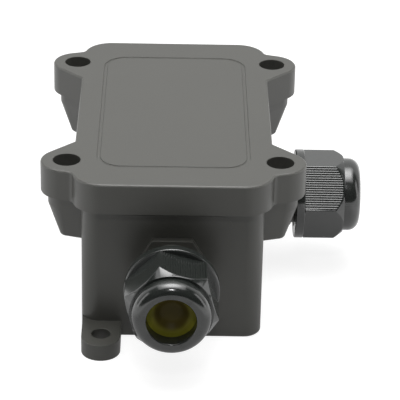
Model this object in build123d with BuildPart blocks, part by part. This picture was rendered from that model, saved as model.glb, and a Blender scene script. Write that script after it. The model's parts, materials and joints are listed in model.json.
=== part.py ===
"""Waterproof junction box with a screwed lid, three threaded cable entries and a terminal block.

Millimetres. The origin is the centre of the base's underside. +Z is up, -Y is the front entry and
+X is the side entry. Distances along an entry are measured outward from the base's wall.
"""

from build123d import *
import os
from math import cos, radians, sin, tan

# Base box
BASE_WIDTH = 47.8
BASE_LENGTH = 89.1
BASE_CORNER = 4.6
WALL = 2.5
FLOOR = 2.5
BOX_HEIGHT = 46.1
RIM_DROP = 4.1
BASE_FOOT_EDGE = 0.5

# Lid
LID_OVERHANG = 2.4
LID_CORNER = 8.0
SKIRT = 8.5
LID_PLATE = 2.5
LID_EDGE = 0.6
SKIRT_GAP = 0.35
LIP = 1.6
LIP_DEPTH = 3.0
LIP_GAP = 0.4
PANEL_INSET_SIDE = 6.1
PANEL_INSET_END = 10.65
PANEL_CORNER = 4.0
PANEL_GROOVE = 0.9
PANEL_GROOVE_DEPTH = 0.3

# Screw ears, one beside each end of the base's long sides
SCREW_OUT = 4.1
SCREW_FROM_END = 12.3
LID_EAR = 6.9
BASE_EAR = 5.0
EAR_GAP = 0.2
EAR_OUTER_ANGLE = 16.6
EAR_INNER_ANGLE = 45.0
EAR_OUTER_FILLET = 1.8
EAR_INNER_FILLET = 1.0
BASE_EAR_HEIGHT = 13.3
BASE_EAR_STRAIGHT = 3.3
BASE_EAR_TAPER = 18.0
BASE_EAR_EDGE = 1.2

# Lid screws, their washers and their inserts
COUNTERBORE = 3.62
COUNTERBORE_DEPTH = 6.6
SCREW = 2.0
SCREW_CLEARANCE = 0.2
SCREW_LENGTH = 8.0
SCREW_HEAD = 3.35
SCREW_HEAD_HEIGHT = 2.4
SCREW_HEAD_EDGE = 0.5
SCREW_POINT = 0.5
CROSS_WIDTH = 0.9
CROSS_LENGTH = 3.8
CROSS_DEPTH = 1.5
CROSS_TAPER = 12.0
WASHER_HEIGHT = 0.6
WASHER_GAP = 0.15
INSERT_WALL = 0.8
INSERT_LENGTH = 6.5
THREAD_GAP = 0.05

# Foot lugs, one at the front left and one at the back right
LUG_INSET = 5.45
LUG_RADIUS = 5.15
LUG_REACH = 13.0
LUG_THICKNESS = 4.6
LUG_HOLE = 2.5
LUG_HOLE_REACH = 6.6

# Cable entries: pad, hexagon boss and threaded stub, all moulded with the base
ENTRY_HEIGHT = 20.8
PAD = 31.0
PAD_CORNER = 3.0
PAD_RISE = 0.2
BOSS_FLATS = 18.2
BOSS_REACH = 2.2
STUB_ROOT = 8.15
STUB_REACH = 18.0
STUB_EDGE = 0.5
CABLE_BORE = 6.2
SEAL_SEAT = 6.9
SEAL_SEAT_REACH = 8.0

# Compression nut
NUT_ROOM = 3.2
NUT_RIM = 12.4
NUT_RIM_WIDTH = 2.6
NUT_RIM_EDGE = 0.4
NUT_FLATS = 21.7
NUT_HEX_LENGTH = 10.9
NUT_CHAMFER = 2.5
NUT_DOME = 10.1
NUT_DOME_LENGTH = 4.6
NUT_DOME_ROUND = 3.0
NUT_MOUTH = 6.4
NUT_MOUTH_EDGE = 0.35
NUT_BORE_GAP = 0.08
NUT_BORE_LENGTH = 13.2
DISC_POCKET = 7.9
DISC_POCKET_DEPTH = 1.1
GRIP_PITCH = 0.65
GRIP_DEPTH = 0.3
GRIP_COUNT = 18
GRIP_SHARE = 0.8
RIBBED_FLATS = 3
HALF_FLAT_ANGLE = 30.0

# Blanking disc, clamping ring and cable seal inside the nut
DISC_GAP = 0.1
RING_FLANGE = 0.8
RING_FINGER = 1.3
RING_RIM = 8.0
RING_FINGER_RIM = 7.8
RING_FINGER_TIP = 7.4
RING_SLOTS = 6
RING_SLOT = 1.2
SEAL_BORE = 4.6
SEAL_GAP = 0.05
SEAL_PROUD = 1.9
SEAL_LIP = 0.6
SEAL_LIPS = 2

# Terminal block
BLOCK_POLES = 3
BLOCK_PITCH = 10.2
POLE_WIDTH = 8.2
POLE_LENGTH = 21.0
POLE_HEIGHT = 9.2
POLE_EDGE = 1.8
TOWER = 3.6
TOWER_HEIGHT = 14.5
TOWER_SPACING = 9.6
WEB_LENGTH = 9.0
WEB_HEIGHT = 5.5
SLEEVE = 2.5
SLEEVE_BORE = 1.7
SLEEVE_LENGTH = 17.0
SLEEVE_HEIGHT = 4.8
SLEEVE_GAP = 0.05
CLAMP_SCREW = 1.4
CLAMP_HEAD = 1.9
CLAMP_HEAD_HEIGHT = 2.0
CLAMP_HEAD_TOP = 12.5
CLAMP_GAP = 0.1
SLOT_WIDTH = 0.6
SLOT_DEPTH = 0.8
POST = 3.0
POST_HEIGHT = 2.0
POST_HOLE_DEPTH = 3.4
FIX_SCREW = 1.4
FIX_HEAD = 2.6
FIX_HEAD_HEIGHT = 1.6
FIX_SCREW_DEPTH = 3.0

# How far cuts run past what they cut, and how near an edge has to lie to a level to be on it
CUT_MARGIN = 1.0
TOUCH = 0.01

# Levels and places worked out from the sizes above
LID_WIDTH = BASE_WIDTH + 2 * LID_OVERHANG
LID_LENGTH = BASE_LENGTH + 2 * LID_OVERHANG
PANEL_WIDTH = LID_WIDTH - 2 * PANEL_INSET_SIDE
PANEL_LENGTH = LID_LENGTH - 2 * PANEL_INSET_END
SKIRT_BOTTOM = BOX_HEIGHT - SKIRT
RIM_TOP = BOX_HEIGHT - RIM_DROP
PLATE_UNDERSIDE = BOX_HEIGHT - LID_PLATE
EAR_TOP = SKIRT_BOTTOM - EAR_GAP
EAR_BOTTOM = EAR_TOP - BASE_EAR_HEIGHT
EAR_TAPER_TOP = EAR_TOP - BASE_EAR_STRAIGHT
WASHER_SEAT = BOX_HEIGHT - COUNTERBORE_DEPTH
HEAD_SEAT = WASHER_SEAT + WASHER_HEIGHT
EAR_X = BASE_WIDTH / 2 + SCREW_OUT
EAR_Y = BASE_LENGTH / 2 - SCREW_FROM_END
SCREW_PLACES = [(-EAR_X, -EAR_Y), (EAR_X, -EAR_Y), (-EAR_X, EAR_Y), (EAR_X, EAR_Y)]
SCREW_BORE = SCREW + THREAD_GAP
INSERT = SCREW_BORE + INSERT_WALL
BLOCK_FOOT = FLOOR + POST_HEIGHT
POLE_PLACES = [(i - (BLOCK_POLES - 1) / 2) * BLOCK_PITCH for i in range(BLOCK_POLES)]
POST_PLACES = [(i - (BLOCK_POLES - 2) / 2) * BLOCK_PITCH for i in range(BLOCK_POLES - 1)]
CLAMP_PLACES = [(x, y) for x in POLE_PLACES for y in (-TOWER_SPACING / 2, TOWER_SPACING / 2)]
LUG_X = BASE_WIDTH / 2 - LUG_INSET
LUG_CENTRE_Y = BASE_LENGTH / 2 + LUG_REACH - LUG_RADIUS
LUG_HOLE_Y = BASE_LENGTH / 2 + LUG_HOLE_REACH
NUT_BORE = STUB_ROOT + NUT_BORE_GAP
RING_FLANGE_END = STUB_REACH + RING_FLANGE
RING_END = RING_FLANGE_END + RING_FINGER
POCKET_START = RING_END + NUT_ROOM
POCKET_END = POCKET_START + DISC_POCKET_DEPTH
NUT_REACH = POCKET_START - NUT_BORE_LENGTH
HEX_START = NUT_REACH + NUT_RIM_WIDTH
HEX_END = HEX_START + NUT_HEX_LENGTH
MOUTH_REACH = HEX_END + NUT_DOME_LENGTH

# Each entry's plane has its origin on the wall, z pointing outward and y pointing up
ENTRIES = {
    "front": Plane((0, -BASE_LENGTH / 2, ENTRY_HEIGHT), x_dir=(1, 0, 0), z_dir=(0, -1, 0)),
    "side": Plane((BASE_WIDTH / 2, 0, ENTRY_HEIGHT), x_dir=(0, 1, 0), z_dir=(1, 0, 0)),
    "rear": Plane((0, BASE_LENGTH / 2, ENTRY_HEIGHT), x_dir=(-1, 0, 0), z_dir=(0, 1, 0)),
}
# Degrees from each entry plane's x direction to one corner of its nut
NUT_TURN = {"front": 45.0, "side": -4.0, "rear": 20.0}

os.makedirs("parts", exist_ok=True)


def save(part, name):
    """Label a finished piece and write it to its own file."""
    part.label = name
    export_step(part, f"parts/{name}.step")


def entry_section(entry):
    """Plane through an entry's axis: x runs outward along the axis and y is the radius."""
    return Plane(entry.origin, x_dir=entry.z_dir, z_dir=-entry.x_dir)


def upright_section(x, y):
    """Plane through the vertical line at (x, y): its x is the radius and its y is the height."""
    return Plane((x, y, 0), x_dir=(1, 0, 0), z_dir=(0, -1, 0))


def foot_of(radius, angle, side, half_width, inset):
    """Where the ear's tangent line at this angle ends, this far inside the box's long side."""
    tangent_x = -EAR_X - radius * sin(radians(angle))
    tangent_y = -EAR_Y + side * radius * cos(radians(angle))
    run = -half_width + inset - tangent_x
    return tangent_x + run, tangent_y + side * run * tan(radians(angle))


def box_with_ears(width, length, corner, ear_radius):
    """Outline of the box with an ear at each screw."""
    outer_foot = foot_of(ear_radius, EAR_OUTER_ANGLE, -1, width / 2, corner / 2)
    inner_foot = foot_of(ear_radius, EAR_INNER_ANGLE, 1, width / 2, corner / 2)
    with BuildSketch() as ear:
        with BuildLine():
            CenterArc((-EAR_X, -EAR_Y), ear_radius, 0, 360)
            Line(outer_foot, inner_foot)
        make_hull()
    with BuildSketch() as outline:
        RectangleRounded(width, length, corner)
        add(ear.sketch)
        mirror(ear.sketch, about=Plane.YZ)
        mirror(about=Plane.XZ)
    return outline.sketch


def ear_corners(part, width, corner, outer):
    """Upright edges where the ears run into the long sides, those towards the ends or the middle."""
    near_side = part.edges().filter_by(Axis.Z).filter_by(
        lambda e: width / 2 - corner + TOUCH < abs(e.center().X) < width / 2 + TOUCH
    )
    return near_side.filter_by(lambda e: (abs(e.center().Y) > EAR_Y) == outer)


base_plan = box_with_ears(BASE_WIDTH, BASE_LENGTH, BASE_CORNER, BASE_EAR)
lid_plan = box_with_ears(LID_WIDTH, LID_LENGTH, LID_CORNER, LID_EAR)


with BuildPart() as base:
    with BuildSketch():
        RectangleRounded(BASE_WIDTH, BASE_LENGTH, BASE_CORNER)
    extrude(amount=RIM_TOP)
    chamfer(base.faces().sort_by(Axis.Z)[0].edges(), BASE_FOOT_EDGE)

    # Screw ears: upright under the lid, then tapering in all round
    with BuildSketch(Plane.XY.offset(EAR_TAPER_TOP)) as ear_section:
        add(base_plan)
    extrude(amount=BASE_EAR_STRAIGHT)
    fillet(ear_corners(base, BASE_WIDTH, BASE_CORNER, outer=False), EAR_INNER_FILLET)
    extrude(ear_section.sketch, amount=EAR_BOTTOM - EAR_TAPER_TOP, taper=BASE_EAR_TAPER)
    ear_feet = base.edges().filter_by_position(Axis.Z, EAR_BOTTOM - TOUCH, EAR_BOTTOM + TOUCH)
    fillet(ear_feet.filter_by(lambda e: abs(e.center().X) > BASE_WIDTH / 2 + TOUCH), BASE_EAR_EDGE)

    # Foot lugs
    with BuildSketch() as lugs:
        with Locations((-LUG_X, -LUG_CENTRE_Y)):
            Circle(LUG_RADIUS)
        with BuildLine():
            Polyline(
                (-LUG_X - LUG_RADIUS, -LUG_CENTRE_Y),
                (-LUG_X + LUG_RADIUS, -LUG_CENTRE_Y),
                (-LUG_X + LUG_RADIUS, -BASE_LENGTH / 2 + BASE_CORNER),
                (-LUG_X - LUG_RADIUS, -BASE_LENGTH / 2 + BASE_CORNER),
                close=True,
            )
        make_face()
        add(lugs.sketch.rotate(Axis.Z, 180))
    extrude(amount=LUG_THICKNESS)

    # Cable entries
    for entry in ENTRIES.values():
        with BuildSketch(entry):
            RectangleRounded(PAD, PAD, PAD_CORNER)
        extrude(amount=PAD_RISE)
        with BuildSketch(entry):
            RegularPolygon(BOSS_FLATS / 2, 6, major_radius=False)
        extrude(amount=BOSS_REACH)
        with BuildSketch(entry_section(entry)):
            with BuildLine():
                Polyline(
                    (0, 0),
                    (0, STUB_ROOT),
                    (STUB_REACH - STUB_EDGE, STUB_ROOT),
                    (STUB_REACH, STUB_ROOT - STUB_EDGE),
                    (STUB_REACH, 0),
                    close=True,
                )
            make_face()
        revolve(axis=Axis(entry.origin, entry.z_dir))

    # Inside: the cavity, the posts under the terminal block and the bores
    with BuildSketch(Plane.XY.offset(FLOOR)):
        RectangleRounded(BASE_WIDTH - 2 * WALL, BASE_LENGTH - 2 * WALL, BASE_CORNER - WALL)
    extrude(amount=RIM_TOP - FLOOR, mode=Mode.SUBTRACT)
    with BuildSketch(Plane.XY.offset(FLOOR)):
        with Locations(*[(x, 0) for x in POST_PLACES]):
            Circle(POST)
    extrude(amount=POST_HEIGHT)
    with BuildSketch(Plane.XY.offset(BLOCK_FOOT)):
        with Locations(*[(x, 0) for x in POST_PLACES]):
            Circle(FIX_SCREW + THREAD_GAP)
    extrude(amount=-POST_HOLE_DEPTH, mode=Mode.SUBTRACT)
    for entry in ENTRIES.values():
        with BuildSketch(entry.offset(-WALL - POST)):
            Circle(CABLE_BORE)
        extrude(amount=WALL + POST + STUB_REACH, mode=Mode.SUBTRACT)
        with BuildSketch(entry.offset(SEAL_SEAT_REACH)):
            Circle(SEAL_SEAT)
        extrude(amount=STUB_REACH - SEAL_SEAT_REACH, mode=Mode.SUBTRACT)
    with BuildSketch(Plane.XY.offset(EAR_TOP)):
        with Locations(*SCREW_PLACES):
            Circle(INSERT)
    extrude(amount=-INSERT_LENGTH, mode=Mode.SUBTRACT)
    with BuildSketch():
        with Locations((-LUG_X, -LUG_HOLE_Y), (LUG_X, LUG_HOLE_Y)):
            Circle(LUG_HOLE)
    extrude(amount=LUG_THICKNESS, mode=Mode.SUBTRACT)
save(base.part, "base")


with BuildPart() as lid:
    with BuildSketch(Plane.XY.offset(SKIRT_BOTTOM)):
        add(lid_plan)
    extrude(amount=SKIRT)
    fillet(ear_corners(lid, LID_WIDTH, LID_CORNER, outer=True), EAR_OUTER_FILLET)
    fillet(ear_corners(lid, LID_WIDTH, LID_CORNER, outer=False), EAR_INNER_FILLET)
    fillet(lid.faces().sort_by(Axis.Z)[-1].edges(), LID_EDGE)

    # Hollow that fits over the base's rim, then the lip inside the rim
    hollow_width = BASE_WIDTH + 2 * SKIRT_GAP
    hollow_length = BASE_LENGTH + 2 * SKIRT_GAP
    with BuildSketch(Plane.XY.offset(SKIRT_BOTTOM)):
        RectangleRounded(hollow_width, hollow_length, BASE_CORNER + SKIRT_GAP)
    extrude(amount=PLATE_UNDERSIDE - SKIRT_BOTTOM, mode=Mode.SUBTRACT)
    lip_inset = WALL + LIP_GAP
    with BuildSketch(Plane.XY.offset(PLATE_UNDERSIDE)) as lip:
        RectangleRounded(BASE_WIDTH - 2 * lip_inset, BASE_LENGTH - 2 * lip_inset, BASE_CORNER - WALL)
        offset(amount=-LIP, kind=Kind.INTERSECTION, mode=Mode.SUBTRACT)
    extrude(amount=-LIP_DEPTH)

    # Counterbored screw holes
    with Locations(*[(x, y, BOX_HEIGHT) for x, y in SCREW_PLACES]):
        CounterBoreHole(SCREW + SCREW_CLEARANCE, COUNTERBORE, COUNTERBORE_DEPTH, depth=SKIRT)

    # Shallow border groove on the top
    with BuildSketch(Plane.XY.offset(BOX_HEIGHT)):
        RectangleRounded(PANEL_WIDTH, PANEL_LENGTH, PANEL_CORNER)
        offset(amount=-PANEL_GROOVE, kind=Kind.ARC, mode=Mode.SUBTRACT)
    extrude(amount=-PANEL_GROOVE_DEPTH, mode=Mode.SUBTRACT)
save(lid.part, "lid")


with BuildPart() as lid_gasket:
    with BuildSketch(Plane.XY.offset(RIM_TOP)):
        RectangleRounded(BASE_WIDTH, BASE_LENGTH, BASE_CORNER)
        RectangleRounded(
            BASE_WIDTH - 2 * WALL, BASE_LENGTH - 2 * WALL, BASE_CORNER - WALL, mode=Mode.SUBTRACT
        )
    extrude(amount=PLATE_UNDERSIDE - RIM_TOP)
save(lid_gasket.part, "lid_gasket")


for number, (x, y) in enumerate(SCREW_PLACES, start=1):
    upright = Axis((x, y, 0), (0, 0, 1))
    head_top = HEAD_SEAT + SCREW_HEAD_HEIGHT
    screw_tip = HEAD_SEAT - SCREW_LENGTH

    with BuildPart() as lid_screw:
        with BuildSketch(upright_section(x, y)):
            with BuildLine():
                Polyline(
                    (0, screw_tip),
                    (SCREW - SCREW_POINT, screw_tip),
                    (SCREW, screw_tip + SCREW_POINT),
                    (SCREW, HEAD_SEAT),
                    (SCREW_HEAD, HEAD_SEAT),
                    (SCREW_HEAD, head_top - SCREW_HEAD_EDGE),
                    (SCREW_HEAD - SCREW_HEAD_EDGE, head_top),
                    (0, head_top),
                    close=True,
                )
            make_face()
        revolve(axis=upright)
        with BuildSketch(Plane((x, y, head_top))):
            Rectangle(CROSS_LENGTH, CROSS_WIDTH)
            Rectangle(CROSS_WIDTH, CROSS_LENGTH)
        extrude(amount=-CROSS_DEPTH, taper=CROSS_TAPER, mode=Mode.SUBTRACT)
    save(lid_screw.part, f"lid_screw_{number}")

    with BuildPart() as screw_washer:
        with BuildSketch(Plane((x, y, WASHER_SEAT))):
            Circle(COUNTERBORE - WASHER_GAP)
            Circle(SCREW_BORE, mode=Mode.SUBTRACT)
        extrude(amount=WASHER_HEIGHT)
    save(screw_washer.part, f"screw_washer_{number}")

    with BuildPart() as screw_insert:
        with BuildSketch(Plane((x, y, EAR_TOP))):
            Circle(INSERT)
            Circle(SCREW_BORE, mode=Mode.SUBTRACT)
        extrude(amount=-INSERT_LENGTH)
    save(screw_insert.part, f"screw_insert_{number}")


for name, entry in ENTRIES.items():
    along = Axis(entry.origin, entry.z_dir)
    hex_corner = NUT_FLATS / 2 / cos(radians(HALF_FLAT_ANGLE))
    first_flat = NUT_TURN[name] + HALF_FLAT_ANGLE

    with BuildPart() as nut:
        with BuildSketch(entry.offset(HEX_START)):
            RegularPolygon(NUT_FLATS / 2, 6, major_radius=False, rotation=NUT_TURN[name])
        extrude(amount=NUT_HEX_LENGTH)
        with BuildSketch(entry.offset(HEX_START)):
            with PolarLocations(NUT_FLATS / 2, RIBBED_FLATS, start_angle=first_flat):
                with GridLocations(0, GRIP_PITCH, 1, GRIP_COUNT):
                    Polygon(
                        (-GRIP_DEPTH, 0),
                        (GRIP_DEPTH, -GRIP_PITCH * GRIP_SHARE),
                        (GRIP_DEPTH, GRIP_PITCH * GRIP_SHARE),
                        align=None,
                    )
        extrude(amount=NUT_HEX_LENGTH - NUT_CHAMFER, mode=Mode.SUBTRACT)
        with BuildSketch(entry_section(entry)):
            with BuildLine():
                Polyline(
                    (HEX_START, 0),
                    (HEX_START, hex_corner + CUT_MARGIN),
                    (HEX_END - NUT_CHAMFER, hex_corner + CUT_MARGIN),
                    (HEX_END - NUT_CHAMFER, hex_corner),
                    (HEX_END, NUT_FLATS / 2),
                    (HEX_END, 0),
                    close=True,
                )
            make_face()
        revolve(axis=along, mode=Mode.INTERSECT)

        # Round rim behind the hexagon and round dome in front of it
        with BuildSketch(entry_section(entry)):
            with BuildLine():
                Polyline(
                    (NUT_REACH, 0),
                    (NUT_REACH, NUT_RIM - NUT_RIM_EDGE),
                    (NUT_REACH + NUT_RIM_EDGE, NUT_RIM),
                    (HEX_START - NUT_RIM_EDGE, NUT_RIM),
                    (HEX_START, NUT_RIM - NUT_RIM_EDGE),
                    (HEX_START, 0),
                    close=True,
                )
            make_face()
        revolve(axis=along)
        with BuildSketch(entry_section(entry)):
            with BuildLine():
                Line((HEX_END, 0), (HEX_END, NUT_DOME))
                Line((HEX_END, NUT_DOME), (MOUTH_REACH - NUT_DOME_ROUND, NUT_DOME))
                RadiusArc(
                    (MOUTH_REACH - NUT_DOME_ROUND, NUT_DOME),
                    (MOUTH_REACH, NUT_DOME - NUT_DOME_ROUND),
                    NUT_DOME_ROUND,
                )
                Line((MOUTH_REACH, NUT_DOME - NUT_DOME_ROUND), (MOUTH_REACH, 0))
                Line((MOUTH_REACH, 0), (HEX_END, 0))
            make_face()
        revolve(axis=along)

        # Bore over the stub, pocket of the blanking disc, and mouth
        with BuildSketch(entry_section(entry)):
            with BuildLine():
                Polyline(
                    (NUT_REACH, 0),
                    (NUT_REACH, NUT_BORE),
                    (POCKET_START, NUT_BORE),
                    (POCKET_START, DISC_POCKET),
                    (POCKET_END, DISC_POCKET),
                    (POCKET_END, NUT_MOUTH),
                    (MOUTH_REACH - NUT_MOUTH_EDGE, NUT_MOUTH),
                    (MOUTH_REACH, NUT_MOUTH + NUT_MOUTH_EDGE),
                    (MOUTH_REACH, 0),
                    close=True,
                )
            make_face()
        revolve(axis=along, mode=Mode.SUBTRACT)
    save(nut.part, f"{name}_nut")

    with BuildPart() as disc:
        with BuildSketch(entry.offset(POCKET_END - DISC_GAP)):
            Circle(DISC_POCKET - DISC_GAP)
        extrude(amount=DISC_GAP - DISC_POCKET_DEPTH)
    save(disc.part, f"{name}_disc")

    with BuildPart() as clamp_ring:
        ring_bore = SEAL_SEAT + SEAL_GAP
        with BuildSketch(entry_section(entry)):
            with BuildLine():
                Polyline(
                    (STUB_REACH, ring_bore),
                    (STUB_REACH, RING_RIM),
                    (RING_FLANGE_END, RING_RIM),
                    (RING_FLANGE_END, RING_FINGER_RIM),
                    (RING_END, RING_FINGER_TIP),
                    (RING_END, ring_bore),
                    close=True,
                )
            make_face()
        revolve(axis=along)
        with BuildSketch(entry.offset(RING_FLANGE_END)):
            with PolarLocations(0, RING_SLOTS):
                with Locations((RING_RIM / 2, 0)):
                    Rectangle(RING_RIM + CUT_MARGIN, RING_SLOT)
        extrude(amount=RING_FINGER, mode=Mode.SUBTRACT)
    save(clamp_ring.part, f"{name}_clamp_ring")

    with BuildPart() as seal:
        seal_length = STUB_REACH + SEAL_PROUD - SEAL_SEAT_REACH
        lip_pitch = seal_length / SEAL_LIPS
        bore_points = []
        for lip_number in range(SEAL_LIPS):
            lip_start = SEAL_SEAT_REACH + lip_number * lip_pitch
            bore_points.append((lip_start, SEAL_BORE + SEAL_LIP))
            bore_points.append((lip_start + lip_pitch / 2, SEAL_BORE))
        seal_end = SEAL_SEAT_REACH + seal_length
        bore_points.append((seal_end, SEAL_BORE + SEAL_LIP))
        with BuildSketch(entry_section(entry)):
            with BuildLine():
                Polyline(
                    *bore_points,
                    (seal_end, SEAL_SEAT - SEAL_GAP),
                    (SEAL_SEAT_REACH, SEAL_SEAT - SEAL_GAP),
                    close=True,
                )
            make_face()
        revolve(axis=along)
    save(seal.part, f"{name}_seal")


with BuildPart() as terminal_block:
    # Three poles joined by lower webs
    with BuildSketch(Plane.XY.offset(BLOCK_FOOT)):
        with Locations(*[(x, 0) for x in POLE_PLACES]):
            Rectangle(POLE_WIDTH, POLE_LENGTH)
    extrude(amount=POLE_HEIGHT)
    tops = terminal_block.edges().filter_by(Axis.Y).group_by(Axis.Z)[-1]
    chamfer(tops, POLE_EDGE)
    with BuildSketch(Plane.XY.offset(BLOCK_FOOT)):
        Rectangle((BLOCK_POLES - 1) * BLOCK_PITCH, WEB_LENGTH)
    extrude(amount=WEB_HEIGHT)
    with BuildSketch(Plane.XY.offset(BLOCK_FOOT + POLE_HEIGHT / 2)):
        with Locations(*CLAMP_PLACES):
            Circle(TOWER)
    extrude(amount=TOWER_HEIGHT - POLE_HEIGHT / 2)

    # Holes for the sleeves, the clamp screws and the fixing screws
    with BuildSketch(Plane.XZ.offset(-POLE_LENGTH / 2)):
        with Locations(*[(x, BLOCK_FOOT + SLEEVE_HEIGHT) for x in POLE_PLACES]):
            Circle(SLEEVE + SLEEVE_GAP)
    extrude(amount=POLE_LENGTH, mode=Mode.SUBTRACT)
    with BuildSketch(Plane.XY.offset(BLOCK_FOOT + TOWER_HEIGHT)):
        with Locations(*CLAMP_PLACES):
            Circle(CLAMP_HEAD + CLAMP_GAP)
    extrude(amount=SLEEVE_HEIGHT - TOWER_HEIGHT, mode=Mode.SUBTRACT)
    with BuildSketch(Plane.XY.offset(BLOCK_FOOT)):
        with Locations(*[(x, 0) for x in POST_PLACES]):
            Circle(FIX_SCREW + THREAD_GAP)
    extrude(amount=WEB_HEIGHT, mode=Mode.SUBTRACT)
    with BuildSketch(Plane.XY.offset(BLOCK_FOOT + WEB_HEIGHT)):
        with Locations(*[(x, 0) for x in POST_PLACES]):
            Circle(FIX_HEAD + CLAMP_GAP)
    extrude(amount=POLE_HEIGHT, mode=Mode.SUBTRACT)
save(terminal_block.part, "terminal_block")


for number, x in enumerate(POLE_PLACES, start=1):
    with BuildPart() as terminal_sleeve:
        with BuildSketch(Plane((x, SLEEVE_LENGTH / 2, BLOCK_FOOT + SLEEVE_HEIGHT), z_dir=(0, -1, 0))):
            Circle(SLEEVE)
            Circle(SLEEVE_BORE, mode=Mode.SUBTRACT)
        extrude(amount=SLEEVE_LENGTH)
        with BuildSketch(Plane((x, 0, BLOCK_FOOT + SLEEVE_HEIGHT))):
            with Locations((0, -TOWER_SPACING / 2), (0, TOWER_SPACING / 2)):
                Circle(CLAMP_SCREW + THREAD_GAP)
        extrude(amount=SLEEVE + CLAMP_GAP, mode=Mode.SUBTRACT)
    save(terminal_sleeve.part, f"terminal_sleeve_{number}")


for number, (x, y) in enumerate(CLAMP_PLACES, start=1):
    with BuildPart() as terminal_screw:
        clamp_top = BLOCK_FOOT + CLAMP_HEAD_TOP
        clamp_neck = clamp_top - CLAMP_HEAD_HEIGHT
        clamp_tip = BLOCK_FOOT + SLEEVE_HEIGHT
        with BuildSketch(Plane((x, y, clamp_tip))):
            Circle(CLAMP_SCREW)
        extrude(amount=clamp_neck - clamp_tip)
        with BuildSketch(Plane((x, y, clamp_neck))):
            Circle(CLAMP_HEAD)
        extrude(amount=CLAMP_HEAD_HEIGHT)
        with BuildSketch(Plane((x, y, clamp_top))):
            Rectangle(2 * CLAMP_HEAD, SLOT_WIDTH)
        extrude(amount=-SLOT_DEPTH, mode=Mode.SUBTRACT)
    save(terminal_screw.part, f"terminal_screw_{number}")


for number, x in enumerate(POST_PLACES, start=1):
    with BuildPart() as block_screw:
        fix_seat = BLOCK_FOOT + WEB_HEIGHT
        with BuildSketch(Plane((x, 0, fix_seat))):
            Circle(FIX_SCREW)
        extrude(amount=-WEB_HEIGHT - FIX_SCREW_DEPTH)
        with BuildSketch(Plane((x, 0, fix_seat))):
            Circle(FIX_HEAD)
        extrude(amount=FIX_HEAD_HEIGHT)
        with BuildSketch(Plane((x, 0, fix_seat + FIX_HEAD_HEIGHT))):
            Rectangle(2 * FIX_HEAD, SLOT_WIDTH)
        extrude(amount=-SLOT_DEPTH, mode=Mode.SUBTRACT)
    save(block_screw.part, f"block_screw_{number}")
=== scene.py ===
"""Looks of the waterproof junction box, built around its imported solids.

The frame is the part's own: the origin is the centre of the base's underside, +Z is up, -Y is the
front entry and +X the side entry. Distances along an entry are measured outward from the base's
wall. Meshes that are made here are written in millimetres, and MM turns them into metres.
"""

import json
from math import ceil, cos, hypot, pi, radians, sin, tan

import bmesh
import bpy
from mathutils import Matrix, Vector
from mathutils.bvhtree import BVHTree


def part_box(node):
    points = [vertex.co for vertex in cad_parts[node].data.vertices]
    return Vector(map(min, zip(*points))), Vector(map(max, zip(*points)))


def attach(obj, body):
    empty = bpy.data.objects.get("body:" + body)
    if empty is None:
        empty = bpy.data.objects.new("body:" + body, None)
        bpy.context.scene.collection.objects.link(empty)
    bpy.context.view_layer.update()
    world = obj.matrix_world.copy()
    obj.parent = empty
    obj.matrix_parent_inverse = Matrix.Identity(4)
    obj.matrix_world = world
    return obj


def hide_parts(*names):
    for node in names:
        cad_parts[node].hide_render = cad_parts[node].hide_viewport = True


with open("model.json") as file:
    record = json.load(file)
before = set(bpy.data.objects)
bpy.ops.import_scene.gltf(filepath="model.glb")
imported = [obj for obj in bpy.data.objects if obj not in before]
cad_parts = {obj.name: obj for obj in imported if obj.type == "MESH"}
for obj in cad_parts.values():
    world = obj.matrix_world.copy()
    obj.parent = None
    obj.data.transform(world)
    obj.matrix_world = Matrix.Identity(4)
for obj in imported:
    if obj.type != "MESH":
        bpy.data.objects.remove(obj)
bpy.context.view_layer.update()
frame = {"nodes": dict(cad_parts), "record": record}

MM = 0.001

# Camera, at the photograph's viewing angle
CAMERA_YAW = radians(0.891)
CAMERA_PITCH = radians(27.081)
CAMERA_ROLL = radians(1.244)
CAMERA_DISTANCE = 594.9 * MM
CAMERA_LENS = 190.2
CAMERA_SENSOR = 36.0
CAMERA_CLIP = (0.01, 50.0)
AIM_X = 7.62 * MM
AIM_BELOW_LID = 27.85 * MM

# Lights, in metres and watts; the top light's middle is so many times brighter and fades over a range
LIGHTS_AIM = Vector((0.0, 0.0, 0.03))
TOP_LIGHT_SIZE = (0.95, 0.85)
TOP_LIGHT_PLACE = Vector((0.0, 0.05, 0.82))
TOP_LIGHT_POWER = 4.5
TOP_LIGHT_MIDDLE = 4.4
TOP_LIGHT_FADE = (0.10, 0.42)
FRONT_LAMP_SIZE = (0.11, 0.11)
FRONT_LAMP_PLACE = Vector((0.0, -0.56, 0.68))
FRONT_LAMP_POWER = 0.9
SIDE_LIGHT_SIZE = (0.25, 0.6)
SIDE_LIGHT_PLACE = Vector((0.75, -0.1, 0.22))
SIDE_LIGHT_POWER = 0.8

# World: plain light, white as it is seen and as it is mirrored, and the darker room in front
WORLD_LIGHT = 0.048
WHITE = 1.0
WHITE_MIRRORED = 0.88
ROOM_LIGHT = 0.024
ROOM_SIDE = Vector((0.0, -1.0, 0.0))
ROOM_EDGE = (-0.45, -0.10)

# Floor: glow where it is seen, growing to white far away, and where it is mirrored, by distance aside
FLOOR_SIZE = 12.0
FLOOR_GLOW = 0.86
FLOOR_FADE = (0.4, 1.2)
FLOOR_SHOWN = 0.30
FLOOR_MIRRORED = (0.45, 0.95)
FLOOR_SIDES = (0.050, 0.090)
FLOOR_BOUNCE = 0.30

# Entries: outward direction and the direction of the entry's own x; its y points up
OUTWARD = {"front": Vector((0, -1, 0)), "side": Vector((1, 0, 0)), "rear": Vector((0, 1, 0))}
ACROSS = {"front": Vector((1, 0, 0)), "side": Vector((0, 1, 0)), "rear": Vector((-1, 0, 0))}
# Degrees from the entry's x to one corner of its nut
NUT_TURN = {"front": 45.0, "side": -4.0, "rear": 20.0}

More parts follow.
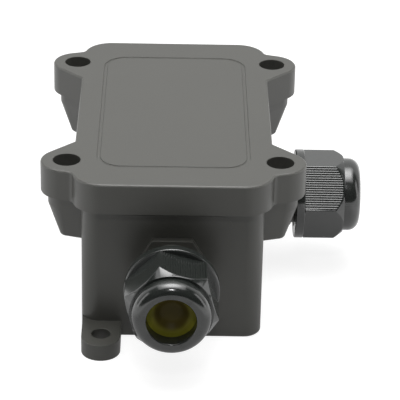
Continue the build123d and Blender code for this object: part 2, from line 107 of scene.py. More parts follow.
# Compression nut, in millimetres
NUT_REACH = 10.1
NUT_RIM = 12.4
NUT_RIM_WIDTH = 2.6
NUT_RIM_ROUND = 0.4
NUT_FLATS = 21.7
NUT_CORNER_ROUND = 0.45
HEX_HALF_SIDE = radians(30)
HEX_START = NUT_REACH + NUT_RIM_WIDTH
HEX_END = 23.6
NUT_CHAMFER = 2.5
NUT_EDGE = 0.12
NUT_DOME = 10.1
NUT_DOME_ROUND = 3.0
MOUTH_REACH = 28.2
NUT_MOUTH = 6.4
NUT_MOUTH_ROUND = 0.35
POCKET = 7.9
POCKET_START = 23.3
POCKET_END = 24.4
GRIP_PITCH = 0.65
GRIP_DEPTH = 0.3
GRIP_COUNT = 18
GROOVE_FLOOR = 0.15
GROOVE_WALL = 0.02
GROOVE_RUN_OUT = 0.3
RIB_CREST = 0.11
RIB_SHOULDER = (GRIP_PITCH - GROOVE_FLOOR - RIB_CREST) / 2 - GROOVE_WALL
RIB_SLOPE = radians(25)
PLAIN_FLAT_POINTS = 13
ROUND_STEPS = 4

# Blanking disc, in millimetres: a flat rim round a shallow dish; the dish's middle is painted darker as
# shade, fading to the disc's own colour at the rim
DISC_RADIUS = 7.8
DISC_GAP = 0.1
DISC_FRONT = POCKET_END - DISC_GAP
DISC_BACK = POCKET_START
DISC_DISH = 5.2
DISC_FLOOR = 2.4
DISC_DEPTH = 1.7
DISC_SHADE_TO_RIM = (4.0, 6.2)
DISC_THIN = 0.3
DISC_STEPS = 10
DISC_SECTORS = 64
DISC_EDGE = 0.1

# Threads on the stubs and in the nuts, in millimetres
THREAD_PITCH = 1.5
STUB_ROOT = 8.15
STUB_CREST = 8.87
STUB_THREAD_START = 3.4
STUB_THREAD_END = 17.3
NUT_THREAD_ROOT = 8.98
NUT_THREAD_CREST = 8.26
NUT_THREAD_START = 10.9
NUT_THREAD_END = 22.6
NUT_THREAD_PHASE = 0.5
RIDGE_FOOT = 0.5
RIDGE_TOP = 0.1
RIDGE_SINK = 0.05
RIDGE_RUN_OUT = 0.5
RIDGE_LEAST = 0.02
THREAD_STEPS = 60

# Lid screws, in millimetres; the thread's place is measured from the screw's tip
LID_SCREWS = 4
SCREW_SHANK = 2.0
SCREW_SHANK_MARGIN = 0.03
SCREW_CREST = 1.98
SCREW_ROOT = 1.62
SCREW_PITCH = 0.7
SCREW_RIDGE_FOOT = 0.3
SCREW_RIDGE_TOP = 0.05
SCREW_THREAD_START = 0.5
SCREW_THREAD_END = 6.8
SCREW_THREAD_STEPS = 20

# Softened edges of the moulded pieces
# Layer of painted light: a painted highlight on the lid's top edge, and painted shade in the middle of
# the discs
PAINTED_LIGHT_LAYER = "painted_light"
PANEL_ARC = Vector((16.2, 32.3)) * MM
PANEL_ARC_RADII = (2.9 * MM, 4.2 * MM)
PANEL_ARC_WIDER = 2.6 * MM
PANEL_DEPTH = 0.4 * MM
PAD_HALF = 15.6 * MM
PAD_RISE = 0.2 * MM
PAD_MARGIN = PAD_RISE / 4
PAD_SHOWN = 0.05 * MM
TOP_ROUND = 0.6 * MM
# Tilts of the faces on the lid's rounded top edge that get a painted highlight
TOP_HIGHLIGHT_TILT = (0.2, 0.8)
EDGE_DRIFT = 0.12 * MM
HOUSING_EDGE = 0.18 * MM
SMALL_EDGE = 0.10 * MM
SHARP_ANGLE = radians(32)
FLAT_ANGLE = radians(0.6)
WELD = 0.002 * MM


def node_tree(owner):
    """The nodes and links of a material's or a world's emptied node tree."""
    owner.use_nodes = True
    tree = owner.node_tree
    tree.nodes.clear()
    return tree.nodes, tree.links


def feed(links, value, socket):
    """Links an output to a socket, or sets the socket to a constant."""
    if isinstance(value, bpy.types.NodeSocket):
        links.new(value, socket)
    else:
        socket.default_value = value


def calculate(nodes, links, operation, *values):
    """Result of a sum on numbers, each an output or a constant."""
    sum_node = nodes.new("ShaderNodeMath")
    sum_node.operation = operation
    for value, socket in zip(values, sum_node.inputs):
        feed(links, value, socket)
    return sum_node.outputs["Value"]


def calculate_vector(nodes, links, operation, *values):
    """Result of a sum on vectors, each an output or a constant."""
    sum_node = nodes.new("ShaderNodeVectorMath")
    sum_node.operation = operation
    for value, socket in zip(values, sum_node.inputs):
        feed(links, value, socket)
    gives_number = operation in ("LENGTH", "DOT_PRODUCT")
    return sum_node.outputs["Value" if gives_number else "Vector"]


def map_range(nodes, links, value, given, wanted, interpolation="LINEAR"):
    """Maps one range of numbers to another and holds it at both ends."""
    mapper = nodes.new("ShaderNodeMapRange")
    mapper.interpolation_type = interpolation
    mapper.inputs["From Min"].default_value, mapper.inputs["From Max"].default_value = given
    mapper.inputs["To Min"].default_value, mapper.inputs["To Max"].default_value = wanted
    links.new(value, mapper.inputs["Value"])
    return mapper.outputs["Result"]


def mix(nodes, links, share, first, second, data_type="FLOAT"):
    """Mixes two numbers, or two colours of data type RGBA, each an output or a constant."""
    mixer = nodes.new("ShaderNodeMix")
    mixer.data_type = data_type
    feed(links, share, mixer.inputs["Factor"])
    feed(links, first, mixer.inputs["A"])
    feed(links, second, mixer.inputs["B"])
    return mixer.outputs["Result"]


def noise(nodes, links, coords, scale, detail):
    """Noise in object space, at this many features a metre."""
    texture = nodes.new("ShaderNodeTexNoise")
    texture.inputs["Scale"].default_value = scale
    texture.inputs["Detail"].default_value = detail
    texture.inputs["Roughness"].default_value = 0.5
    links.new(coords, texture.inputs["Vector"])
    return texture.outputs["Fac"]


def finish_material(name, colour, mottle, roughness, grain, metallic=0.0, specular=0.5, second=None):
    """Surface with slightly uneven colour and gloss and a fine grain.

    mottle is (share of colour, features a metre), roughness (low, high) and grain (depth in
    millimetres, features a metre). second is the colour painted where the mesh's painted-light layer is
    1: the lid's painted highlight along its top edge, and the discs' own rim colour, whose middles keep
    the first colour as painted shade.
    """
    material = bpy.data.materials.new(name)
    nodes, links = node_tree(material)
    output = nodes.new("ShaderNodeOutputMaterial")
    surface = nodes.new("ShaderNodeBsdfPrincipled")
    links.new(surface.outputs["BSDF"], output.inputs["Surface"])
    coords = nodes.new("ShaderNodeTexCoord").outputs["Object"]
    share, spread = mottle
    darker = [c * (1 - share) for c in colour] + [1]
    lighter = [c * (1 + share) for c in colour] + [1]
    clouds = noise(nodes, links, coords, spread, detail=3.0)
    shown = mix(nodes, links, clouds, darker, lighter, "RGBA")
    # Painted light from the mesh's layer: a highlight on the lid's top edge, and the disc's own colour
    # at its rim round a middle painted darker as shade
    if second:
        layer = nodes.new("ShaderNodeAttribute")
        layer.attribute_name = PAINTED_LIGHT_LAYER
        shown = mix(nodes, links, layer.outputs["Fac"], shown, [*second, 1], "RGBA")
    links.new(shown, surface.inputs["Base Color"])
    depth, density = grain
    fine = noise(nodes, links, coords, density, detail=2.0)
    links.new(map_range(nodes, links, fine, (0, 1), roughness), surface.inputs["Roughness"])
    bump = nodes.new("ShaderNodeBump")
    bump.inputs["Distance"].default_value = depth * MM
    bump.inputs["Strength"].default_value = 1.0
    links.new(fine, bump.inputs["Height"])
    links.new(bump.outputs["Normal"], surface.inputs["Normal"])
    surface.inputs["Metallic"].default_value = metallic
    surface.inputs["Specular IOR Level"].default_value = specular
    return material


def make_materials():
    """One material for each slot of the record."""
    return {
        # The second colour is a painted highlight along the lid's rounded top edge
        "housing": finish_material(
            "housing_plastic", (0.063, 0.063, 0.055), (0.05, 60), (0.36, 0.48), (0.010, 2600),
            specular=0.7, second=(0.12, 0.12, 0.11),
        ),
        "nut": finish_material(
            "nut_nylon", (0.023, 0.026, 0.024), (0.06, 90), (0.13, 0.19), (0.0005, 900), specular=0.9
        ),
        # The first colour is painted shade in the dish's middle; the second is the disc's own olive, at
        # its rim
        "disc": finish_material(
            "disc_plastic", (0.090, 0.070, 0.014), (0.05, 200), (0.4, 0.5), (0.003, 1800),
            specular=0.15, second=(0.36, 0.35, 0.028),
        ),
        "clamp_ring": finish_material(
            "clamp_ring_nylon", (0.05, 0.052, 0.05), (0.05, 120), (0.3, 0.4), (0.004, 1500)
        ),
        "rubber": finish_material(
            "seal_rubber", (0.03, 0.03, 0.03), (0.1, 300), (0.6, 0.75), (0.01, 3000)
        ),
        "gasket": finish_material(
            "gasket_rubber", (0.035, 0.035, 0.036), (0.1, 300), (0.6, 0.75), (0.01, 3000)
        ),
        "lid_screw": finish_material(
            "screw_steel", (0.22, 0.22, 0.215), (0.06, 800), (0.42, 0.55), (0.002, 4000), metallic=1.0
        ),
        "terminal_block": finish_material(
            "block_nylon", (0.72, 0.72, 0.68), (0.03, 100), (0.35, 0.5), (0.004, 1500)
        ),
        "brass": finish_material(
            "turned_brass", (0.75, 0.55, 0.25), (0.06, 500), (0.22, 0.34), (0.002, 4000), metallic=1.0
        ),
        "zinc_screw": finish_material(
            "zinc_plate", (0.66, 0.66, 0.64), (0.05, 600), (0.25, 0.38), (0.002, 4000), metallic=1.0
        ),
    }


materials = make_materials()
slot_of = {row["node"]: row["material_slot"] for row in frame["record"]["subparts"]}


def new_piece(name, mesh, body, slot):
    """A mesh object in the part's frame that rides on a body and has a slot's finish."""
    piece = bpy.data.objects.new(name, mesh)
    bpy.context.scene.collection.objects.link(piece)
    mesh.materials.clear()
    mesh.materials.append(materials[slot])
    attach(piece, body)
    return piece


def mesh_from(data, name):
    """Turns mesh data into a mesh: faces outward and smooth, and crisp at its sharp edges."""
    bmesh.ops.recalc_face_normals(data, faces=data.faces)
    for edge in data.edges:
        edge.smooth = not (len(edge.link_faces) == 2 and edge.calc_face_angle(0) > SHARP_ANGLE)
    for face in data.faces:
        face.smooth = True
    mesh = bpy.data.meshes.new(name)
    data.to_mesh(mesh)
    data.free()
    return mesh


def weigh_normals(piece):
    """Lets large flat faces shade flat, so that only the rounded edges between them shade round."""
    weighted = piece.modifiers.new("weighted_normals", "WEIGHTED_NORMAL")
    weighted.mode = "FACE_AREA"
    weighted.weight = 100
    weighted.keep_sharp = True
    evaluated = piece.evaluated_get(bpy.context.evaluated_depsgraph_get())
    mesh = bpy.data.meshes.new_from_object(evaluated)
    piece.modifiers.clear()
    plain = piece.data
    piece.data = mesh
    mesh.name = plain.name
    bpy.data.meshes.remove(plain)


def entry_matrix(name):
    """Turns an entry's own x, y (up) and distance from the wall, in metres, into the part's frame."""
    low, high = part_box(f"{name}_nut")
    outward = OUTWARD[name]
    half_length = abs((high - low).dot(outward)) / 2
    origin = (low + high) / 2 + outward * (half_length - MOUTH_REACH * MM)
    axes = Matrix((ACROSS[name], Vector((0, 0, 1)), outward)).transposed().to_4x4()
    return Matrix.Translation(origin) @ axes


def place(data, matrix):
    """Scales mesh data from millimetres and puts it in the part's frame."""
    bmesh.ops.transform(data, matrix=matrix @ Matrix.Scale(MM, 4), verts=data.verts)


def node_mesh_data(node):
    """A copy of a node's solid as mesh data, with its vertices joined."""
    data = bmesh.new()
    data.from_mesh(frame["nodes"][node].data)
    bmesh.ops.remove_doubles(data, verts=data.verts, dist=WELD)
    return data


def off_axis(point, wall, across):
    """How far a point lies up, down or sideways from an entry's axis, whichever is more."""
    return max(abs(point.z - wall.z), abs((point - wall).dot(across)))


def flatten_pads(data):
    """Lowers the pads round the cable entries to a step that is only just seen.

    Returns the edges of that step, which stay crisp.
    """
    crisp = set()
    for name, outward in OUTWARD.items():
        wall = entry_matrix(name).translation
        rises = {v: (v.co - wall).dot(outward) for v in data.verts}
        for vertex, rise in rises.items():
            if abs(rise - PAD_RISE) < PAD_MARGIN:
                vertex.co -= outward * (PAD_RISE - PAD_SHOWN)
        near = {v for v, rise in rises.items() if -WELD < rise < PAD_RISE + PAD_MARGIN}
        pad = {v for v in near if off_axis(v.co, wall, ACROSS[name]) < PAD_HALF}
        crisp.update(e for e in data.edges if e.verts[0] in pad and e.verts[1] in pad)
    return crisp


def widen_panel_corners(data):
    """Gives the groove round the lid's panel larger corners, as moulded."""
    top = max(v.co.z for v in data.verts)
    inner, outer = PANEL_ARC_RADII
    for vertex in data.verts:
        quarter = Vector((1 if vertex.co.x > 0 else -1, 1 if vertex.co.y > 0 else -1))
        from_centre = Vector((abs(vertex.co.x), abs(vertex.co.y))) - PANEL_ARC
        on_arc = inner < from_centre.length < outer and min(from_centre) > -WELD
        if on_arc and vertex.co.z > top - PANEL_DEPTH:
            widened = from_centre * (1 + PANEL_ARC_WIDER / from_centre.length)
            place_at = PANEL_ARC - Vector((PANEL_ARC_WIDER, PANEL_ARC_WIDER)) + widened
            vertex.co.x, vertex.co.y = place_at * quarter


def paint_top_edge_highlight(data):
    """Marks the rounded edge round the top in the painted-light layer: a painted highlight, a little
    lighter.
    """
    highlight_layer = data.faces.layers.float.new(PAINTED_LIGHT_LAYER)
    top = max(v.co.z for v in data.verts)
    flattest, steepest = TOP_HIGHLIGHT_TILT
    for face in data.faces:
        if face.calc_center_median().z > top - TOP_ROUND and flattest < face.normal.z < steepest:
            face[highlight_layer] = 1.0


def round_edges(data, edges, width):
    """Rounds edges off by a bevel of two faces."""
    bmesh.ops.bevel(
        data,
        geom=edges,
        offset=width,
        offset_type="OFFSET",
        segments=2,
        profile=0.5,
        affect="EDGES",
        clamp_overlap=False,
        loop_slide=True,
    )


def make_softened(node, body, width):
    """The node's own shape with its sharp edges rounded off a little, in place of the node."""
    data = node_mesh_data(node)
    bmesh.ops.dissolve_limit(data, angle_limit=FLAT_ANGLE, verts=data.verts, edges=data.edges)
    crisp = flatten_pads(data) if node == "base" else set()
    if node == "lid":
        widen_panel_corners(data)
    solid = BVHTree.FromBMesh(data)
    sharp = [
        e for e in data.edges
        if e not in crisp and len(e.link_faces) == 2 and e.calc_face_angle(0) > SHARP_ANGLE
    ]
    round_edges(data, sharp, width)
    low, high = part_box(node)
    for vertex in data.verts:
        nearest, _, _, distance = solid.find_nearest(vertex.co)
        if distance > EDGE_DRIFT:
            vertex.co = nearest
        vertex.co = [min(max(c, a), b) for c, a, b in zip(vertex.co, low, high)]
    # Painted highlight along the lid's rounded top edge
    if node == "lid":
        paint_top_edge_highlight(data)
    piece = new_piece(f"{node}_moulding", mesh_from(data, f"{node}_softened"), body, slot_of[node])
    weigh_normals(piece)
    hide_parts(node)


def arc(centre, radius, start, end, steps):
    """Points on an arc, from one angle in degrees to another, both included."""
    turns = [radians(start + (end - start) * i / steps) for i in range(steps + 1)]
    return [(centre[0] + radius * cos(t), centre[1] + radius * sin(t)) for t in turns]


def ribbed_flat(half_flat):
    """Points along a ribbed flat, as (distance along it, depth under it)."""
    drop = RIB_SHOULDER * tan(RIB_SLOPE)
    points = [(-half_flat, 0.0)]
    for groove in range(GRIP_COUNT):
        along = (groove - GRIP_COUNT / 2) * GRIP_PITCH
        steps = [
            (0, GRIP_DEPTH), (GROOVE_FLOOR, GRIP_DEPTH), (GROOVE_WALL, drop),
            (RIB_SHOULDER, 0), (RIB_CREST, 0), (RIB_SHOULDER, drop),
        ]
        for onward, depth in steps:
            along += onward
            points.append((along, depth))
    points.append((half_flat, 0.0))
    return points


def hexagon_outline(turn):
    """Outline of the nut's hexagon: rounded corners, three ribbed flats and three plain ones.

    Each point is its x, its y and how much further out the flat lies there, as a factor.
    """
    apothem = NUT_FLATS / 2
    half_flat = (apothem - NUT_CORNER_ROUND) * tan(HEX_HALF_SIDE)
    spaces = PLAIN_FLAT_POINTS - 1
    plain = [(half_flat * (2 * i / spaces - 1), 0.0) for i in range(PLAIN_FLAT_POINTS)]
    ribbed = ribbed_flat(half_flat)
    points = []
    for flat in range(6):
        normal = radians(turn + 30 + 60 * flat)
        for along, depth in ribbed if flat % 2 == 0 else plain:
            out = apothem - depth
            x = out * cos(normal) - along * sin(normal)
            y = out * sin(normal) + along * cos(normal)
            points.append((x, y, apothem / out))
        corner = turn + 60 + 60 * flat
        reach = (apothem - NUT_CORNER_ROUND) / cos(HEX_HALF_SIDE)
        centre = (reach * cos(radians(corner)), reach * sin(radians(corner)))
        rounded = arc(centre, NUT_CORNER_ROUND, corner - 30, corner + 30, ROUND_STEPS)[1:-1]
        points += [(x, y, 1.0) for x, y in rounded]
    return points


def nut_profile(groove_radius, hex_radius):
    """The nut's section at one place of its outline, as points (distance along, radius).

    The grooves between the ribs run out where the end chamfer starts.
    """
    corner = NUT_FLATS / 2 / cos(HEX_HALF_SIDE)
    slope = (corner - NUT_FLATS / 2) / NUT_CHAMFER
    earliest = HEX_START + 3 * NUT_EDGE + GROOVE_RUN_OUT
    latest = HEX_END - 2 * NUT_EDGE
    chamfer_start = HEX_END - NUT_CHAMFER + (corner - hex_radius) / slope
    chamfer_start = min(max(chamfer_start, earliest), latest)
    end_radius = min(hex_radius - NUT_EDGE, NUT_FLATS / 2 - NUT_EDGE)
    rim_back = (NUT_REACH + NUT_RIM_ROUND, NUT_RIM - NUT_RIM_ROUND)
    rim_front = (HEX_START - NUT_RIM_ROUND, NUT_RIM - NUT_RIM_ROUND)
    dome = (MOUTH_REACH - NUT_DOME_ROUND, NUT_DOME - NUT_DOME_ROUND)
    mouth = (MOUTH_REACH - NUT_MOUTH_ROUND, NUT_MOUTH + NUT_MOUTH_ROUND)
    return [
        (NUT_REACH, NUT_THREAD_ROOT + NUT_RIM_ROUND),
        *arc(rim_back, NUT_RIM_ROUND, 180, 90, ROUND_STEPS),
        *arc(rim_front, NUT_RIM_ROUND, 90, 0, ROUND_STEPS),
        (HEX_START, groove_radius),
        (chamfer_start - NUT_EDGE - GROOVE_RUN_OUT, groove_radius),
        (chamfer_start - NUT_EDGE, hex_radius),
        (chamfer_start + NUT_EDGE, hex_radius - NUT_EDGE * slope),
        (HEX_END - NUT_EDGE, end_radius + NUT_EDGE / 2),
        (HEX_END, end_radius),
        (HEX_END, NUT_DOME),
        *arc(dome, NUT_DOME_ROUND, 90, 0, 3 * ROUND_STEPS),
        *arc(mouth, NUT_MOUTH_ROUND, 0, -90, ROUND_STEPS),
        (POCKET_END, NUT_MOUTH),
        (POCKET_END, POCKET),
        (POCKET_START, POCKET),
        (POCKET_START, NUT_THREAD_ROOT),
        (NUT_REACH + NUT_RIM_ROUND, NUT_THREAD_ROOT),
    ]


def add_nut_body(data, turn):
    """The nut's body as a grid of sections round its axis, in millimetres, z along the axis."""
    rings = []
    for x, y, rise in hexagon_outline(turn):
        radius = hypot(x, y)
        profile = nut_profile(radius, radius * rise)
        rings.append([data.verts.new((x / radius * r, y / radius * r, a)) for a, r in profile])
    for ring, following in zip(rings, rings[1:] + rings[:1]):
        for i in range(len(ring)):
            j = (i + 1) % len(ring)
            data.faces.new((ring[i], following[i], following[j], ring[j]))


def add_ridge(data, foot_radius, top_radius, start, end, pitch, foot, top, steps, phase=0.0):
    """A helical thread ridge round the z axis, in millimetres, running out to nothing at both ends.

    A right-handed helix: it climbs by the pitch each turn. foot and top are half its widths there.
    phase is its place at angle 0, as a share of the pitch.
    """
    count = ceil((end - start) / pitch * steps)
    run_out = RIDGE_RUN_OUT * steps
    sunk_radius = foot_radius + (RIDGE_SINK if top_radius < foot_radius else -RIDGE_SINK)
    rows = []
    for i in range(count + 1):
        angle = 2 * pi * i / steps
        height = start + phase * pitch + pitch * i / steps
        grown = max(min(1.0, i / run_out, (count - i) / run_out), RIDGE_LEAST)
        crest = foot_radius + (top_radius - foot_radius) * grown
        section = [(sunk_radius, -foot), (crest, -top), (crest, top), (sunk_radius, foot)]
        rows.append([data.verts.new((r * cos(angle), r * sin(angle), height + a)) for r, a in section])
    for row, following in zip(rows, rows[1:]):
        for i in range(4):
            j = (i + 1) % 4
            data.faces.new((row[i], following[i], following[j], row[j]))
    data.faces.new(rows[0])
    data.faces.new(rows[-1])


def make_nut(name):
    """Compression nut with ribbed flats, rounded edges and an internal thread."""
    data = bmesh.new()
    add_nut_body(data, NUT_TURN[name])
    add_ridge(
        data, NUT_THREAD_ROOT, NUT_THREAD_CREST, NUT_THREAD_START, NUT_THREAD_END,
        THREAD_PITCH, RIDGE_FOOT, RIDGE_TOP, THREAD_STEPS, phase=NUT_THREAD_PHASE,
    )
    place(data, entry_matrix(name))
    piece = new_piece(f"{name}_nut_body", mesh_from(data, f"{name}_nut_body"), f"{name}_nut", "nut")
    weigh_normals(piece)
    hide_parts(f"{name}_nut")


def add_turned(data, profile, sectors):
    """Closed solid of revolution round the z axis: the profile runs from the axis back to it."""
    turns = [2 * pi * i / sectors for i in range(sectors)]
    rings = []
    for a, r in profile:
        if r == 0:
            rings.append([data.verts.new((0, 0, a))])
        else:
            rings.append([data.verts.new((r * cos(t), r * sin(t), a)) for t in turns])
    for ring, following in zip(rings, rings[1:]):
        for i in range(sectors):
            j = (i + 1) % sectors
            corners = [
                ring[i % len(ring)],
                ring[j % len(ring)],
                following[j % len(following)],
                following[i % len(following)],
            ]
            data.faces.new(list(dict.fromkeys(corners)))


def make_disc(name):
    """Blanking disc, thin and dished in the middle."""
    dish = [(0, DISC_DEPTH)]
    for i in range(DISC_STEPS + 1):
        share = i / DISC_STEPS
        radius = DISC_FLOOR + (DISC_DISH - DISC_FLOOR) * share
        dish.append((radius, DISC_DEPTH * (1 + cos(pi * share)) / 2))
    front = [(DISC_FRONT - deep, r) for r, deep in dish]
    back = [(DISC_BACK - max(0, deep - DISC_THIN), r) for r, deep in dish]
    rim = [
        (DISC_FRONT, DISC_RADIUS - DISC_EDGE),
        (DISC_FRONT - DISC_EDGE, DISC_RADIUS),
        (DISC_BACK + DISC_EDGE, DISC_RADIUS),
        (DISC_BACK, DISC_RADIUS - DISC_EDGE),
    ]
    data = bmesh.new()
    add_turned(data, front + rim + back[::-1], DISC_SECTORS)
    # Painted shade: the dish's middle keeps the darker brown, fading to the disc's own olive at the rim
    rim_share = data.verts.layers.float.new(PAINTED_LIGHT_LAYER)
    shaded_to, rim_from = DISC_SHADE_TO_RIM
    for vertex in data.verts:
        share = (hypot(vertex.co.x, vertex.co.y) - shaded_to) / (rim_from - shaded_to)
        vertex[rim_share] = min(1.0, max(0.0, share))
    place(data, entry_matrix(name))
    piece = new_piece(f"{name}_disc_dish", mesh_from(data, f"{name}_disc_dish"), f"{name}_disc", "disc")
    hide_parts(f"{name}_disc")


def make_stub_thread(name):
    """Thread on the entry's stub, in step with the nut's."""
    turns = ceil((NUT_THREAD_START - STUB_THREAD_START) / THREAD_PITCH)
    start = NUT_THREAD_START - turns * THREAD_PITCH
    data = bmesh.new()
    add_ridge(
        data, STUB_ROOT, STUB_CREST, start, STUB_THREAD_END,
        THREAD_PITCH, RIDGE_FOOT, RIDGE_TOP, THREAD_STEPS,
    )
    place(data, entry_matrix(name))
    new_piece(f"{name}_stub_thread", mesh_from(data, f"{name}_stub_thread"), "base", "housing")


def make_lid_screw(number):
    """Lid screw with its shank under the washer cut down to the thread's root, and the thread added."""
    node = f"lid_screw_{number}"
    low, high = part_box(node)
    centre = (low + high) / 2
    washer_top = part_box(f"screw_washer_{number}")[1].z
    data = node_mesh_data(node)
    for vertex in data.verts:
        radius = hypot(vertex.co.x - centre.x, vertex.co.y - centre.y)
        on_shank = radius < (SCREW_SHANK + SCREW_SHANK_MARGIN) * MM
        if on_shank and vertex.co.z <= washer_top + WELD:
            vertex.co.x = centre.x + (vertex.co.x - centre.x) * SCREW_ROOT / SCREW_SHANK
            vertex.co.y = centre.y + (vertex.co.y - centre.y) * SCREW_ROOT / SCREW_SHANK
    thread = bmesh.new()
    add_ridge(
        thread, SCREW_ROOT, SCREW_CREST, SCREW_THREAD_START, SCREW_THREAD_END,
        SCREW_PITCH, SCREW_RIDGE_FOOT, SCREW_RIDGE_TOP, SCREW_THREAD_STEPS,
    )
    place(thread, Matrix.Translation((centre.x, centre.y, low.z)))
    thread_mesh = bpy.data.meshes.new("thread")
    thread.to_mesh(thread_mesh)
    thread.free()
    data.from_mesh(thread_mesh)
    bpy.data.meshes.remove(thread_mesh)
    piece = new_piece(f"{node}_threaded", mesh_from(data, f"{node}_threaded"), "lid", "lid_screw")
    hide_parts(node)


def finish_nodes():
    """Gives every node of the frame the material of its slot."""
    for node, solid in frame["nodes"].items():
        solid.data.materials.clear()
        solid.data.materials.append(materials[slot_of[node]])


def seen_by(nodes, links, path, *rays):
    """1 for a ray of any of these kinds, and 0 for others."""
    seen = path.outputs[rays[0]]
    for ray in rays[1:]:
        seen = calculate(nodes, links, "MAXIMUM", seen, path.outputs[ray])
    return seen


def matt(nodes, level):
    """A matt grey surface of this level."""
    surface = nodes.new("ShaderNodeBsdfDiffuse")
    surface.inputs["Color"].default_value = (level, level, level, 1)
    return surface.outputs["BSDF"]


def make_floor():
    """White floor that keeps a faint shadow and lights the object like a pale table."""
    bpy.ops.mesh.primitive_plane_add(size=FLOOR_SIZE, location=(0, 0, 0))
    floor = bpy.context.active_object
    floor.name = "floor"
    material = bpy.data.materials.new("floor_paper")
    nodes, links = node_tree(material)
    path = nodes.new("ShaderNodeLightPath")
    coords = nodes.new("ShaderNodeTexCoord").outputs["Object"]
    place_on_floor = nodes.new("ShaderNodeSeparateXYZ")
    links.new(coords, place_on_floor.inputs["Vector"])
    aside = calculate(nodes, links, "ABSOLUTE", place_on_floor.outputs["X"])
    mirrored_glow = map_range(nodes, links, aside, FLOOR_SIDES, FLOOR_MIRRORED)
    away = calculate_vector(nodes, links, "LENGTH", coords)
    seen_glow = map_range(nodes, links, away, FLOOR_FADE, (FLOOR_GLOW, WHITE))
    glow = nodes.new("ShaderNodeEmission")
    strength = mix(nodes, links, path.outputs["Is Camera Ray"], mirrored_glow, seen_glow)
    links.new(strength, glow.inputs["Strength"])
    shown = nodes.new("ShaderNodeAddShader")
    links.new(glow.outputs["Emission"], shown.inputs[0])
    links.new(matt(nodes, FLOOR_SHOWN), shown.inputs[1])
    chosen = nodes.new("ShaderNodeMixShader")
    seen = seen_by(nodes, links, path, "Is Camera Ray", "Is Glossy Ray", "Is Transmission Ray")
    links.new(seen, chosen.inputs["Fac"])
    links.new(matt(nodes, FLOOR_BOUNCE), chosen.inputs[1])
    links.new(shown.outputs["Shader"], chosen.inputs[2])
    output = nodes.new("ShaderNodeOutputMaterial")
    links.new(chosen.outputs["Shader"], output.inputs["Surface"])
    floor.data.materials.append(material)


def make_world():
    """White where the camera sees it, and a plain soft light on the object.

    Reflections see a pale studio, and the darker room that lies in front of the object.
    """
    world = bpy.data.worlds.new("studio")
    bpy.context.scene.world = world
    nodes, links = node_tree(world)
    path = nodes.new("ShaderNodeLightPath")
    direction = nodes.new("ShaderNodeTexCoord").outputs["Generated"]
    towards_room = calculate_vector(nodes, links, "DOT_PRODUCT", direction, ROOM_SIDE.normalized())
    studio = map_range(
        nodes, links, towards_room, ROOM_EDGE, (WHITE_MIRRORED, ROOM_LIGHT), "SMOOTHSTEP"
    )
    mirrored = seen_by(nodes, links, path, "Is Glossy Ray", "Is Transmission Ray")
    soft_or_mirrored = mix(nodes, links, mirrored, WORLD_LIGHT, studio)
    background = nodes.new("ShaderNodeBackground")
    background.inputs["Color"].default_value = (1, 1, 1, 1)
    strength = mix(nodes, links, path.outputs["Is Camera Ray"], soft_or_mirrored, WHITE)
    links.new(strength, background.inputs["Strength"])
    output = nodes.new("ShaderNodeOutputWorld")
    links.new(background.outputs["Background"], output.inputs["Surface"])


def add_light(name, size, place_at, power):
    """A soft rectangular light that faces the object. Returns the light's data."""
    light = bpy.data.lights.new(name, "AREA")
    light.shape = "RECTANGLE"
    light.size, light.size_y = size
    light.energy = power
    lamp = bpy.data.objects.new(name, light)
    lamp.location = place_at
    lamp.rotation_euler = (LIGHTS_AIM - place_at).to_track_quat("-Z", "Y").to_euler()
    bpy.context.scene.collection.objects.link(lamp)
    return light


def brighten_middle(light, times, fade):
    """Makes a rectangular light brighter round its middle, fading between two distances from it."""
    light.use_nodes = True
    nodes, links = light.node_tree.nodes, light.node_tree.links
    place_on_light = nodes.new("ShaderNodeNewGeometry").outputs["Parametric"]
    centred = calculate_vector(nodes, links, "SUBTRACT", place_on_light, (0.5, 0.5, 0.0))
    scaled = calculate_vector(nodes, links, "MULTIPLY", centred, (light.size, light.size_y, 0.0))
    reach = calculate_vector(nodes, links, "LENGTH", scaled)
    strength = map_range(nodes, links, reach, fade, (times, 1.0), "SMOOTHSTEP")
    links.new(strength, nodes["Emission"].inputs["Strength"])


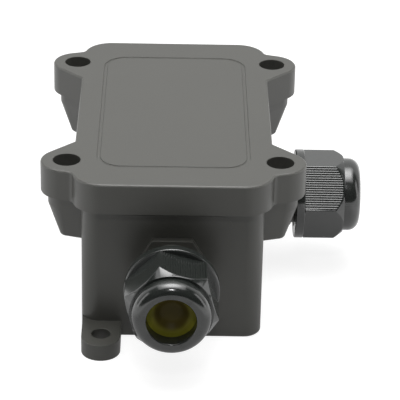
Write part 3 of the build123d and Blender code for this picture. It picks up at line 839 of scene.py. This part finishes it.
def make_lights():
    """A large soft light above, brighter in its middle, a lamp in front and a strip at each side."""
    top_light = add_light("top_light", TOP_LIGHT_SIZE, TOP_LIGHT_PLACE, TOP_LIGHT_POWER)
    brighten_middle(top_light, TOP_LIGHT_MIDDLE, TOP_LIGHT_FADE)
    add_light("front_lamp", FRONT_LAMP_SIZE, FRONT_LAMP_PLACE, FRONT_LAMP_POWER)
    for number, side in enumerate((-1, 1), start=1):
        place_at = Vector((side * SIDE_LIGHT_PLACE.x, SIDE_LIGHT_PLACE.y, SIDE_LIGHT_PLACE.z))
        add_light(f"side_light_{number}", SIDE_LIGHT_SIZE, place_at, SIDE_LIGHT_POWER)


def make_camera():
    """Camera at the photograph's angle, looking along +Y and down."""
    forward = Vector(
        (sin(CAMERA_YAW) * cos(CAMERA_PITCH), cos(CAMERA_YAW) * cos(CAMERA_PITCH), -sin(CAMERA_PITCH))
    )
    level = Vector((cos(CAMERA_YAW), -sin(CAMERA_YAW), 0))
    upward = level.cross(forward)
    right = cos(CAMERA_ROLL) * level + sin(CAMERA_ROLL) * upward
    up = cos(CAMERA_ROLL) * upward - sin(CAMERA_ROLL) * level
    aim = Vector((AIM_X, 0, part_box("lid")[1].z - AIM_BELOW_LID))
    lens = bpy.data.cameras.new("photo_camera")
    lens.lens = CAMERA_LENS
    lens.sensor_width = CAMERA_SENSOR
    lens.clip_start, lens.clip_end = CAMERA_CLIP
    camera = bpy.data.objects.new("photo_camera", lens)
    turned = Matrix((right, up, -forward)).transposed().to_4x4()
    camera.matrix_world = Matrix.Translation(aim - forward * CAMERA_DISTANCE) @ turned
    bpy.context.scene.collection.objects.link(camera)
    bpy.context.scene.camera = camera


make_softened("base", "base", HOUSING_EDGE)
make_softened("lid", "lid", HOUSING_EDGE)
make_softened("terminal_block", "base", SMALL_EDGE)
for entry in OUTWARD:
    make_nut(entry)
    make_disc(entry)
    make_stub_thread(entry)
for screw in range(LID_SCREWS):
    make_lid_screw(screw + 1)
finish_nodes()

make_floor()
make_world()
make_lights()
make_camera()
bpy.context.scene.view_settings.view_transform = "Standard"
